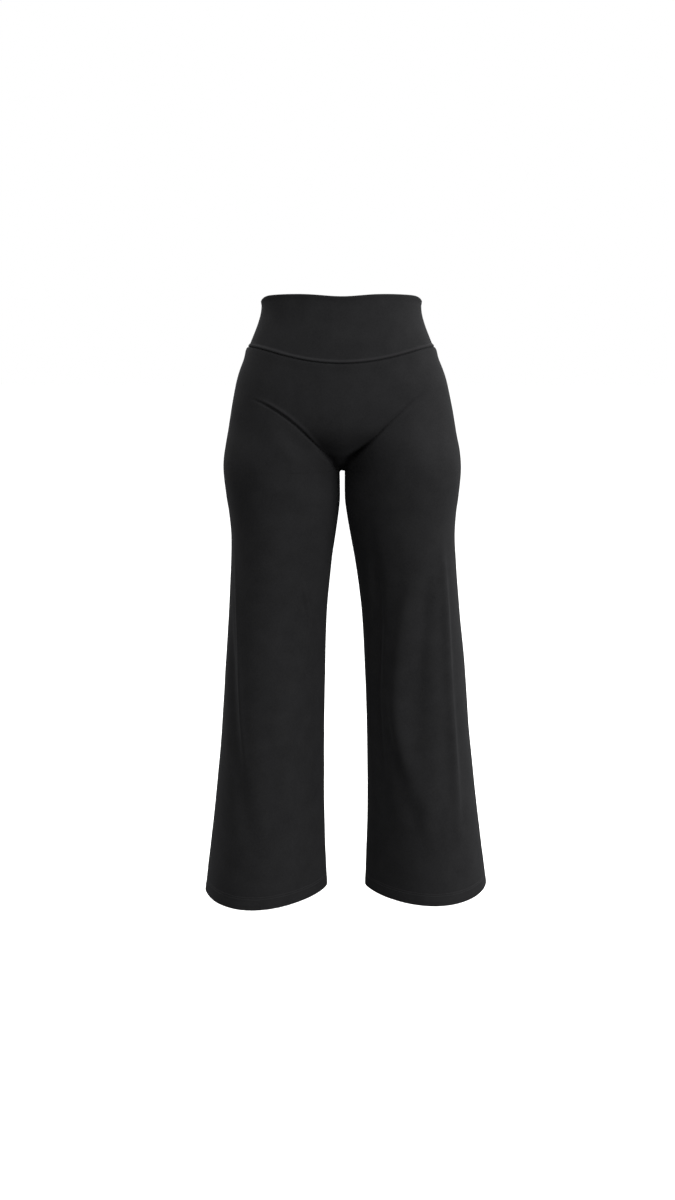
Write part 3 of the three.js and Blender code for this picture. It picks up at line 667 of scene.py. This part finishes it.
def cloth_shell(piece):
    """A closed shell for one piece: its outside, its inside and a rounded rim. Gives points, faces, and
    how far across the cut each point is, and how much each point is worn and lit by a painted highlight."""
    own = [grid for grid in grids if grid["piece"] == piece]

    def of_all(value):
        return np.concatenate([value(grid).ravel() for grid in own])

    places, first, local = np.unique(of_all(places_of), return_index=True, return_inverse=True)
    local = local.ravel()
    trim, wall, wear_and_highlight = of_all(trim_height)[first], of_all(wall_at)[first], of_all(wear_and_highlight_at)[first]
    across = of_all(lambda grid: grid["half"] * grid["mid"])[first]
    quads, offset = [], 0
    for grid in own:
        quads += local[grid["quads"] + offset].tolist()
        offset += grid["mid"].size
    sheet, out = skin[places], outward[places]  # the middle sheet, before it has any thickness
    edges, sides = boundary_sides(sheet, quads, out)
    rim = np.array(sorted(sides))
    side = np.array([sides[i] for i in rim])
    sheet[rim] -= side * RIM_ROUND
    outer = sheet + out * trim[:, None]
    inner = sheet - out * wall[:, None]
    points = [outer, inner]
    rings = [dict(zip(rim.tolist(), rim.tolist()))]
    count = 2 * len(outer)
    for step in range(1, RIM_STEPS):
        angle = math.pi * step / RIM_STEPS
        across_rim = (outer[rim] - inner[rim]) / 2 * math.cos(angle)
        points.append((outer[rim] + inner[rim]) / 2 + across_rim + side * RIM_ROUND * math.sin(angle))
        rings.append(dict(zip(rim.tolist(), range(count, count + len(rim)))))
        count += len(rim)
    rings.append({i: i + len(outer) for i in rim.tolist()})
    faces = [[*dict.fromkeys(quad)] for quad in quads]
    faces = [face for face in faces if len(face) > 2]
    inside = [[i + len(outer) for i in reversed(face)] for face in faces]
    strip = [[near[b], near[a], far[a], far[b]]
             for near, far in zip(rings, rings[1:]) for a, b in edges]
    across = np.concatenate([across, across, *[across[rim]] * (RIM_STEPS - 1)])
    # the inside gets neither the rubbed wear nor the painted highlight
    wear_and_highlight = np.concatenate([wear_and_highlight, 0 * wear_and_highlight, *[wear_and_highlight[rim]] * (RIM_STEPS - 1)])
    return np.concatenate(points), faces + inside + strip, across, wear_and_highlight


def grid_of(piece, half):
    return next(grid for grid in grids if grid["piece"] == piece and grid["half"] == half)


def line_of(grid, row=None, col=None, first=0, last=None):
    """A stretch of a grid's row or column, as places in the whole skin."""
    places = places_of(grid)
    return (places[row] if col is None else places[:, col])[first:last]


def tube(line, ups, profile, closed):
    """A tube along a line. profile: (across, up) points of its section, for each point of the line."""
    ahead = np.roll(line, -1, axis=0) - np.roll(line, 1, axis=0)
    if not closed:
        ahead[0], ahead[-1] = line[1] - line[0], line[-1] - line[-2]
    side = np.cross(unit(ahead), ups)
    rings = [line + side * a[..., None] + ups * u[..., None] for a, u in profile]
    points = np.stack(rings, axis=1)
    count, sides = points.shape[:2]
    faces = []
    for i in range(count if closed else count - 1):
        near, far = i * sides, ((i + 1) % count) * sides
        faces += [[near + j, near + (j + 1) % sides, far + (j + 1) % sides, far + j]
                  for j in range(sides)]
    if not closed:
        faces += [list(range(sides))[::-1], [(count - 1) * sides + j for j in range(sides)]]
    return points.reshape(-1, 3), faces


def joined(parts):
    """Several sets of points and faces as one."""
    points, faces, count = [], [], 0
    for some, some_faces in parts:
        points.append(some)
        faces += [[i + count for i in face] for face in some_faces]
        count += len(some)
    return np.concatenate(points), faces


def allowance(lines, closed=False, wall_left=BODY_WALL, wall_right=BODY_WALL):
    """A seam allowance: a flat strip against the inside of the cloth, along each line of points."""
    walls = {-1: wall_left, 0: (wall_left + wall_right) / 2, 1: wall_right}
    strips = []
    for places in lines:
        places = places[np.concatenate([[True], np.diff(places) != 0])]
        ones = np.ones(len(places))
        profile = []
        for side, corners, deep in ALLOWANCE_SECTION:
            across = side * ALLOWANCE["half"] + corners * ALLOWANCE["corner"]
            up = -(walls[side] - ALLOWANCE["sunk"] + deep * ALLOWANCE["thick"])
            profile.append((across * ones, up * ones))
        strips.append(tube(skin[places], outward[places], profile, closed))
    return joined(strips)


def face_line(grid, distance, inside=False):
    """The cloth's face along a line at a distance above the hem, and the direction out of it."""
    row = int(np.argmax(grid["hem"][:, 0] < distance)) - 1
    above, below = grid["hem"][row:row + 2, 0]
    share = (above - distance) / (above - below)
    lift = -wall_at(grid) if inside else trim_height(grid)
    points, outs = [], []
    for r in (row, row + 1):
        places = line_of(grid, row=r)
        points.append(skin[places] + outward[places] * lift[r][:, None])
        outs.append(outward[places])
    return points[0] + share * (points[1] - points[0]), outs[0]


def thread_section(radius, sides, height):
    """A thread's section, for a tube. radius and height have a value for each point of the line."""
    turns = np.linspace(0, 2 * math.pi, sides, endpoint=False)
    return [(radius * math.cos(a), radius * math.sin(a) + height) for a in turns]


def stitch_row(grid, distance):
    """A row of straight stitches, each one standing a little off the cloth and dipping in at its ends."""
    line, outs = face_line(grid, distance)
    run = run_along(line)
    count = round(run[-1] / STITCH["pitch"])
    place, radius, height = np.array(STITCH_SHAPE).T
    section = thread_section(STITCH["thread"] * radius, STITCH["sides"], STITCH["thread"] * height)
    stitches = []
    for number in range(count):
        at = (number + 0.5) * run[-1] / count + STITCH["length"] * place
        stitches.append(tube(at_places(at, run, line), at_places(at, run, outs), section, False))
    return joined(stitches)


def looper_zigzag(grid):
    """The thread that joins the two rows of stitches on the inside of the hem."""
    high, outs = face_line(grid, STITCH["rows"][0], inside=True)
    low, _ = face_line(grid, STITCH["rows"][1], inside=True)
    run = run_along(high)
    count = 2 * round(run[-1] / STITCH["pitch"])
    at = np.linspace(0, run[-1], count + 1)
    high, low, outs = (at_places(at, run, values) for values in (high, low, outs))
    line = np.where((np.arange(count + 1) % 2)[:, None] == 1, high, low)
    radius = np.full(count + 1, LOOPER["thread"])
    return tube(line, outs, thread_section(radius, LOOPER["sides"], -LOOPER["sunk"] * radius), False)


# ------------------------------------------------------------------ materials
KNIT_FINISH = {
    "Roughness": 0.85,
    "Specular IOR Level": 0.12,
    "Sheen Weight": 0.06,
    "Sheen Roughness": 0.35,
    "Sheen Tint": (0.75, 0.76, 0.8, 1),
}
KNIT_TONES = ((0.3, (0.0107, 0.0107, 0.0114)), (0.7, (0.0191, 0.0191, 0.0201)))
KNIT_NOISES = {"patch": (0.36, 34, 3), "grain": (0.4, 420, 2), "cloud": (0.2, 9, 2)}  # share, scale, detail
RUBBED_AND_LIT_TONE, RUBBED_AND_LIT_SHARE = (0.034, 0.034, 0.0355, 1), 0.75
WALES = {"Scale": 230, "Distortion": 1.2, "Detail": 1, "Detail Scale": 2}  # the knit's ribs, along the cut
KNIT_BUMP = {"Strength": 0.25, "Distance": 0.0002}
THREAD_FINISH = {"Roughness": 0.6, "Specular IOR Level": 0.3}
THREAD_TONES = ((0.0, (0.016, 0.016, 0.017)), (1.0, (0.040, 0.040, 0.042)))
THREAD_TWIST = {"Scale": 900}


def fill(tree, node, inputs):
    """Gives some of a node's sockets a plain value, or a link from another node's output."""
    for socket, value in dict(inputs).items():
        if isinstance(value, bpy.types.NodeSocket):
            tree.links.new(value, node.inputs[socket])
        else:
            node.inputs[socket].default_value = value


def new_node(tree, kind, inputs=(), **settings):
    node = tree.nodes.new(kind)
    for setting, value in settings.items():
        setattr(node, setting, value)
    fill(tree, node, inputs)
    return node


def new_material(name, finish):
    """A material, its node tree and its shader, with a finish of plain values."""
    material = bpy.data.materials.new(name)
    material.use_nodes = True
    tree = material.node_tree
    shader = tree.nodes["Principled BSDF"]
    fill(tree, shader, finish)
    return material, tree, shader


def scaled(tree, value, factor, add=0.0):
    """A node's value times a factor, plus a number or another node's value."""
    inputs = {0: value, 1: factor, 2: add}
    return new_node(tree, "ShaderNodeMath", inputs, operation="MULTIPLY_ADD").outputs[0]


def toned(tree, value, tones):
    """A colour that follows a node's value. tones: (value, colour) stops."""
    node = tree.nodes.new("ShaderNodeValToRGB")
    stops = node.color_ramp.elements
    for number, (place, colour) in enumerate(tones):
        stop = stops[number] if number < 2 else stops.new(place)
        stop.position, stop.color = place, (*colour, 1)
    tree.links.new(value, node.inputs["Fac"])
    return node.outputs["Color"]


def knit_material():
    material, tree, shader = new_material("black_knit", KNIT_FINISH)
    place = new_node(tree, "ShaderNodeTexCoord").outputs
    tone, noises = 0.0, {}
    for name, (share, scale, detail) in KNIT_NOISES.items():
        inputs = {"Scale": scale, "Detail": detail, "Vector": place["Object"]}
        noises[name] = new_node(tree, "ShaderNodeTexNoise", inputs).outputs["Fac"]
        tone = scaled(tree, noises[name], share, tone)
    # painted highlight on raised seams and edges, together with rubbed wear, lightens the knit's colour
    # there
    worn_and_lit = new_node(tree, "ShaderNodeAttribute", attribute_name="wear_and_highlight").outputs["Fac"]
    colour = new_node(tree, "ShaderNodeMix", {
        "Factor": scaled(tree, worn_and_lit, RUBBED_AND_LIT_SHARE), "A": toned(tree, tone, KNIT_TONES), "B": RUBBED_AND_LIT_TONE,
    }, data_type="RGBA").outputs["Result"]
    wales = new_node(tree, "ShaderNodeTexWave", {**WALES, "Vector": place["UV"]},
                     wave_type="BANDS", bands_direction="X").outputs["Fac"]
    height = new_node(tree, "ShaderNodeMath", {0: wales, 1: noises["grain"]}, operation="ADD").outputs[0]
    normal = new_node(tree, "ShaderNodeBump", {**KNIT_BUMP, "Height": height}).outputs["Normal"]
    fill(tree, shader, {"Base Color": colour, "Normal": normal})
    return material


def thread_material():
    material, tree, shader = new_material("black_thread", THREAD_FINISH)
    place = new_node(tree, "ShaderNodeTexCoord").outputs["Object"]
    twist = new_node(tree, "ShaderNodeTexWave", {**THREAD_TWIST, "Vector": place},
                     bands_direction="DIAGONAL").outputs["Fac"]
    fill(tree, shader, {"Base Color": toned(tree, twist, THREAD_TONES)})
    return material


knit, thread = knit_material(), thread_material()


def add_piece(name, material, points, faces, across=None, wear_and_highlight=None):
    """A visible piece, from points in millimetres. across: how far across its cut each point is."""
    points = points / PER_METRE
    mesh = bpy.data.meshes.new(name)
    mesh.from_pydata(points.tolist(), [], faces)
    mesh.validate()
    mesh.shade_smooth()
    if across is not None:
        layer = mesh.uv_layers.new(name="cut")
        vertex = np.empty(len(mesh.loops), int)
        mesh.loops.foreach_get("vertex_index", vertex)
        uv = np.stack([across[vertex] / PER_METRE, points[vertex][:, 2]], -1)
        layer.data.foreach_set("uv", uv.ravel().astype(np.float32))
    # this attribute holds rubbed wear and a painted highlight on raised seams and edges
    if wear_and_highlight is not None:
        values = mesh.attributes.new("wear_and_highlight", "FLOAT", "POINT").data
        values.foreach_set("value", wear_and_highlight.astype(np.float32))
    mesh.materials.append(material)
    piece = bpy.data.objects.new(name, mesh)
    bpy.context.scene.collection.objects.link(piece)
    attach(piece, "root")
    return piece


for name in ("waistband_front", "waistband_back", "front", "back_left", "back_right", "gusset"):
    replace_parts(add_piece(name + "_cloth", knit, *cloth_shell(name)), name)

front = {half: grid_of("front", half) for half in (1, -1)}
back = {1: grid_of("back_left", 1), -1: grid_of("back_right", -1)}
round_waist = (("waistband_front", 1, 1), ("waistband_back", 1, -1),
               ("waistband_back", -1, 1), ("waistband_front", -1, -1))  # piece, half, and direction
band_seam = np.concatenate([
    line_of(grid_of(piece, half), row=-1)[::direction] for piece, half, direction in round_waist])
hem_row = int(np.argmax(levels < HEM_Z + HEM_TURN + ALLOWANCE["above_hem"]))


def on_both(panels, **stretch):
    return [line_of(panels[half], **stretch) for half in (1, -1)]


allowances = {
    "band_seam": allowance([band_seam[:-1]], True, BAND_WALL, BODY_WALL),
    "side_seams": allowance(on_both(front, col=-1, last=hem_row)),
    "centre_back_seam": allowance([line_of(back[1], col=0, last=tip_row + 1)]),
    "inseams": allowance(on_both(back, col=0, first=tip_row, last=hem_row)),
    "gusset_seams": allowance(on_both(front, col=0, first=tip_row, last=drop_row + 1)),
}
for name, (points, faces) in allowances.items():
    add_piece(name + "_allowance", knit, points, faces)

for name, panels in {"front": front.values(), "back_left": [back[1]], "back_right": [back[-1]]}.items():
    sewn = [stitch_row(grid, row) for grid in panels for row in STITCH["rows"]]
    add_piece(name + "_hem_stitches", thread, *joined(sewn))
    add_piece(name + "_hem_looper", thread, *joined([looper_zigzag(grid) for grid in panels]))

# ------------------------------------------------------------------ studio, in metres
SKY_LIGHT = ((0.0, 0.03), (0.48, 0.05), (0.53, 0.45), (0.62, 1.0), (1.0, 1.25))  # height, brightness
SKY_STRENGTH = 1.04
BACKDROP = (1, 1, 1, 1)
FLOOR_Z, FLOOR_REACH = -1.06, 200
FLOOR_FINISH = {"Base Color": (0.95, 0.95, 0.95, 1), "Roughness": 1.0}
LIGHTS = {
    # place, aim, size, power
    "key": ((2.2, 0.6, 0.1), (0, 0, -0.3), (1.2, 1.4), 14),
    "front_right": ((2.2, -1.8, -0.15), (0, 0, -0.45), (1.4, 2.0), 53),
    "floor_wash": ((0, 0, 3), (0, 0, -1), (6, 6), 260),
}
CAMERA_PLACE = (0, -2.1, -0.135)  # level, opposite the waist
SENSOR = 36.0  # millimetres
PICTURE = (675, 1200)
FOCAL, SHIFT = 1272.6, (-4.1, -220)  # in the picture's own pixels

scene = bpy.context.scene
scene.view_settings.view_transform = "Standard"

# Soft light, mostly from above, and a plain white wall behind
world = bpy.data.worlds.new("studio")
scene.world = world
world.use_nodes = True
sky_tree = world.node_tree
direction = new_node(sky_tree, "ShaderNodeTexCoord").outputs["Generated"]
upward = new_node(sky_tree, "ShaderNodeSeparateXYZ", {0: direction}).outputs["Z"]
tones = [(height, (bright,) * 3) for height, bright in SKY_LIGHT]
soft_light = sky_tree.nodes["Background"]
fill(sky_tree, soft_light, {
    "Color": toned(sky_tree, scaled(sky_tree, upward, 0.5, 0.5), tones), "Strength": SKY_STRENGTH})
backdrop = new_node(sky_tree, "ShaderNodeBackground", {"Color": BACKDROP})
is_seen = new_node(sky_tree, "ShaderNodeLightPath").outputs["Is Camera Ray"]
either = new_node(sky_tree, "ShaderNodeMixShader", {
    "Fac": is_seen, 1: soft_light.outputs[0], 2: backdrop.outputs[0]})
fill(sky_tree, sky_tree.nodes["World Output"], {"Surface": either.outputs[0]})

floor_mesh = bpy.data.meshes.new("floor")
floor_mesh.from_pydata([(x * FLOOR_REACH, y * FLOOR_REACH, FLOOR_Z) for x, y in
                        ((-1, -1), (1, -1), (1, 1), (-1, 1))], [], [(0, 1, 2, 3)])
floor_mesh.materials.append(new_material("floor_paper", FLOOR_FINISH)[0])
floor = bpy.data.objects.new("floor", floor_mesh)
scene.collection.objects.link(floor)
floor.visible_diffuse = False  # the studio's walls light the cloth, and its floor doesn't
floor.visible_glossy = False


def area_light(name, place, aim, size, power):
    light = bpy.data.lights.new(name, "AREA")
    light.shape = "RECTANGLE"
    light.size, light.size_y = size
    light.energy = power
    lamp = bpy.data.objects.new(name, light)
    lamp.location = place
    lamp.rotation_euler = (Vector(aim) - Vector(place)).to_track_quat("-Z", "Y").to_euler()
    scene.collection.objects.link(lamp)
    return lamp


lamps = {name: area_light(name, *settings) for name, settings in LIGHTS.items()}
only_floor = bpy.data.collections.new("only_floor")
only_floor.objects.link(floor)
lamps["floor_wash"].light_linking.receiver_collection = only_floor
lamps["floor_wash"].light_linking.blocker_collection = only_floor

camera_data = bpy.data.cameras.new("camera")
camera_data.sensor_width = SENSOR
camera_data.lens = FOCAL * SENSOR / max(PICTURE)
camera_data.shift_x, camera_data.shift_y = (shift / max(PICTURE) for shift in SHIFT)
camera = bpy.data.objects.new("camera", camera_data)
camera.location = CAMERA_PLACE
camera.rotation_euler = (math.pi / 2, 0, 0)
scene.collection.objects.link(camera)
scene.camera = camera
